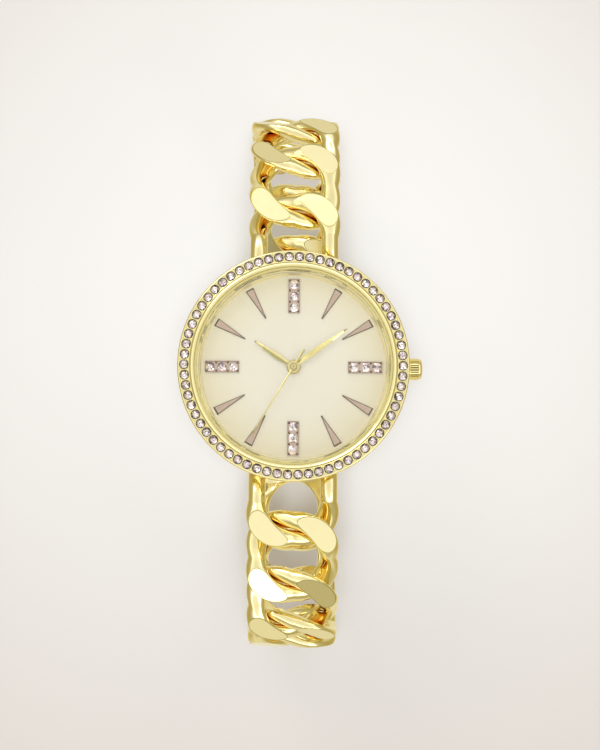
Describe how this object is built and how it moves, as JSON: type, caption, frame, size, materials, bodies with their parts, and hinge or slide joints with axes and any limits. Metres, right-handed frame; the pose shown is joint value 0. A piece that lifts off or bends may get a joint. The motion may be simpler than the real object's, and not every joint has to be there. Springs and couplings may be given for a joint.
{
  "type": "bracelet wristwatch",
  "caption": "Round gold-tone bracelet wristwatch with a stone-set bezel, three hands, a crown and a curb-chain bracelet closed by a fold-over clasp; shows the time.",
  "frame": {"origin": "on the outer face of the clasp's cover plate, where it rests on the table, under the dial's centre", "axes": "+Z out of the dial, +Y towards 12 o'clock, +X towards the crown at 3 o'clock"},
  "size_m": [0.0383, 0.0884, 0.0472],
  "materials": {
    "gold": "polished gold plate",
    "chain_gold": "polished gold plate, diamond-cut flats",
    "hand_gold": "polished gold plate",
    "rose_plate": "polished pale rose plate",
    "stone": "faceted clear crystal, foiled behind",
    "crystal": "clear polished glass",
    "dial_paint": "satin sunray cream lacquer",
    "steel": "brushed",
    "plate_nickel": "satin nickel plate",
    "battery_steel": "satin steel",
    "magnet": "dark sintered magnet, steel pinion",
    "wheel_brass": "gilt brass",
    "coil_copper": "enamelled copper winding",
    "board": "gloss solder resist",
    "holder_plastic": "matt moulded",
    "gasket_plastic": "matt",
    "rubber": "matt"
  },
  "bodies": {
    "head": {"case_body": "gold", "case_back": "steel", "back_gasket": "rubber", "bezel": "gold", "bezel_stones": "stone", "glass": "crystal", "glass_gasket": "gasket_plastic", "inner_flange": "gold", "dial": "dial_paint", "wedge_markers": "rose_plate", "baton_markers": "rose_plate", "marker_stones": "stone", "crown_tube": "steel", "movement_holder": "holder_plastic", "main_plate": "plate_nickel", "train_bridge": "plate_nickel", "battery": "battery_steel", "battery_clamp": "steel", "coil": "coil_copper", "coil_core": "steel", "stator": "steel", "circuit_board": "board", "quartz_can": "plate_nickel", "movement_screws": "steel", "upper_end_loop": "chain_gold", "lower_end_loop": "chain_gold"},
    "upper_link_1": {"upper_link_1": "chain_gold"},
    "upper_link_2": {"upper_link_2": "chain_gold"},
    "upper_link_3": {"upper_link_3": "chain_gold"},
    "upper_link_4": {"upper_link_4": "chain_gold"},
    "upper_link_5": {"upper_link_5": "chain_gold"},
    "upper_link_6": {"upper_link_6": "chain_gold"},
    "upper_link_7": {"upper_link_7": "chain_gold"},
    "lower_link_1": {"lower_link_1": "chain_gold"},
    "lower_link_2": {"lower_link_2": "chain_gold"},
    "lower_link_3": {"lower_link_3": "chain_gold"},
    "lower_link_4": {"lower_link_4": "chain_gold"},
    "lower_link_5": {"lower_link_5": "chain_gold"},
    "lower_link_6": {"lower_link_6": "chain_gold"},
    "lower_link_7": {"lower_link_7": "chain_gold"},
    "clasp": {"clasp_cover": "gold", "clasp_pin": "steel"},
    "leaf": {"clasp_leaf": "gold"},
    "seconds": {"seconds_hand": "hand_gold", "seconds_wheel": "wheel_brass"},
    "minute": {"minute_hand": "hand_gold", "centre_wheel": "wheel_brass"},
    "hour": {"hour_hand": "hand_gold", "hour_wheel": "wheel_brass"},
    "third": {"third_wheel": "wheel_brass"},
    "step": {"step_wheel": "wheel_brass"},
    "rotor": {"rotor": "magnet"},
    "minute_wheel": {"minute_wheel": "wheel_brass"},
    "crown_slider": {"crown_gasket": "rubber"},
    "crown": {"crown": "gold", "setting_stem": "steel", "setting_pinion": "steel"},
    "lever": {"setting_lever": "steel"}
  },
  "joints": [
    {"name": "upper_hinge_1", "type": "hinge", "parent": "head", "child": "upper_link_1", "pos_m": [0, 0.0252, 0.04117], "axis": [1, 0, 0], "range_deg": [0, 9]},
    {"name": "upper_hinge_2", "type": "hinge", "parent": "upper_link_1", "child": "upper_link_2", "pos_m": [0, 0.03371, 0.03824], "axis": [1, 0, 0], "range_deg": [0, 28]},
    {"name": "upper_hinge_3", "type": "hinge", "parent": "upper_link_2", "child": "upper_link_3", "pos_m": [0, 0.03985, 0.03166], "axis": [1, 0, 0], "range_deg": [0, 30]},
    {"name": "upper_hinge_4", "type": "hinge", "parent": "upper_link_3", "child": "upper_link_4", "pos_m": [0, 0.04187, 0.02289], "axis": [1, 0, 0], "range_deg": [0, 29]},
    {"name": "upper_hinge_5", "type": "hinge", "parent": "upper_link_4", "child": "upper_link_5", "pos_m": [0, 0.03939, 0.01423], "axis": [1, 0, 0], "range_deg": [0, 27]},
    {"name": "upper_hinge_6", "type": "hinge", "parent": "upper_link_5", "child": "upper_link_6", "pos_m": [0, 0.03325, 0.00765], "axis": [1, 0, 0], "range_deg": [0, 25]},
    {"name": "upper_hinge_7", "type": "hinge", "parent": "upper_link_6", "child": "upper_link_7", "pos_m": [0, 0.02491, 0.00428], "axis": [1, 0, 0], "range_deg": [0, 18]},
    {"name": "lower_hinge_1", "type": "hinge", "parent": "head", "child": "lower_link_1", "pos_m": [0, -0.0252, 0.04117], "axis": [-1, 0, 0], "range_deg": [0, 9]},
    {"name": "lower_hinge_2", "type": "hinge", "parent": "lower_link_1", "child": "lower_link_2", "pos_m": [0, -0.03371, 0.03824], "axis": [-1, 0, 0], "range_deg": [0, 28]},
    {"name": "lower_hinge_3", "type": "hinge", "parent": "lower_link_2", "child": "lower_link_3", "pos_m": [0, -0.03985, 0.03166], "axis": [-1, 0, 0], "range_deg": [0, 30]},
    {"name": "lower_hinge_4", "type": "hinge", "parent": "lower_link_3", "child": "lower_link_4", "pos_m": [0, -0.04187, 0.02289], "axis": [-1, 0, 0], "range_deg": [0, 29]},
    {"name": "lower_hinge_5", "type": "hinge", "parent": "lower_link_4", "child": "lower_link_5", "pos_m": [0, -0.03939, 0.01423], "axis": [-1, 0, 0], "range_deg": [0, 27]},
    {"name": "lower_hinge_6", "type": "hinge", "parent": "lower_link_5", "child": "lower_link_6", "pos_m": [0, -0.03325, 0.00765], "axis": [-1, 0, 0], "range_deg": [0, 25]},
    {"name": "lower_hinge_7", "type": "hinge", "parent": "lower_link_6", "child": "lower_link_7", "pos_m": [0, -0.02491, 0.00428], "axis": [-1, 0, 0], "range_deg": [0, 18]},
    {"name": "clasp_hinge", "type": "hinge", "parent": "upper_link_7", "child": "clasp", "pos_m": [0, 0.01446, 0.00355], "axis": [1, 0, 0], "range_deg": [0, 30]},
    {"name": "leaf_hinge", "type": "hinge", "parent": "clasp", "child": "leaf", "pos_m": [0, -0.01158, 0.0064], "axis": [1, 0, 0], "range_deg": [0, 150]},
    {"name": "seconds_turn", "type": "hinge", "parent": "head", "child": "seconds", "pos_m": [0, 0, 0.04161], "axis": [0, 0, -1], "continuous": true},
    {"name": "minute_turn", "type": "hinge", "parent": "head", "child": "minute", "pos_m": [0, 0, 0.04261], "axis": [0, 0, -1], "continuous": true},
    {"name": "hour_turn", "type": "hinge", "parent": "head", "child": "hour", "pos_m": [0, 0, 0.04361], "axis": [0, 0, -1], "continuous": true},
    {"name": "third_turn", "type": "hinge", "parent": "head", "child": "third", "pos_m": [0.0017, 0.00294, 0.04161], "axis": [0, 0, -1], "continuous": true},
    {"name": "step_turn", "type": "hinge", "parent": "head", "child": "step", "pos_m": [-0.00338, -0.00123, 0.04161], "axis": [0, 0, -1], "continuous": true},
    {"name": "rotor_turn", "type": "hinge", "parent": "head", "child": "rotor", "pos_m": [-0.00443, -0.00305, 0.04161], "axis": [0, 0, -1], "continuous": true},
    {"name": "minute_wheel_turn", "type": "hinge", "parent": "head", "child": "minute_wheel", "pos_m": [0.00312, 0, 0.04301], "axis": [0, 0, -1], "continuous": true},
    {"name": "crown_pull", "type": "slide", "parent": "head", "child": "crown_slider", "axis": [1, 0, 0], "range_m": [0, 0.0008]},
    {"name": "crown_turn", "type": "hinge", "parent": "crown_slider", "child": "crown", "pos_m": [0.01805, 0, 0.04191], "axis": [1, 0, 0], "continuous": true},
    {"name": "lever_turn", "type": "hinge", "parent": "head", "child": "lever", "pos_m": [0.0083, 0.0026, 0.04241], "axis": [0, 0, 1], "range_deg": [0, 18]}
  ],
  "couplings": [
    {"joint": "minute_turn", "follows": "seconds_turn", "ratio": 0.016667},
    {"joint": "hour_turn", "follows": "seconds_turn", "ratio": 0.0013889},
    {"joint": "third_turn", "follows": "seconds_turn", "ratio": -0.13333},
    {"joint": "step_turn", "follows": "seconds_turn", "ratio": -5},
    {"joint": "rotor_turn", "follows": "seconds_turn", "ratio": 30},
    {"joint": "minute_wheel_turn", "follows": "seconds_turn", "ratio": -0.0055556},
    {"joint": "lever_turn", "follows": "crown_pull", "rad_per_m": 384.62}
  ]
}
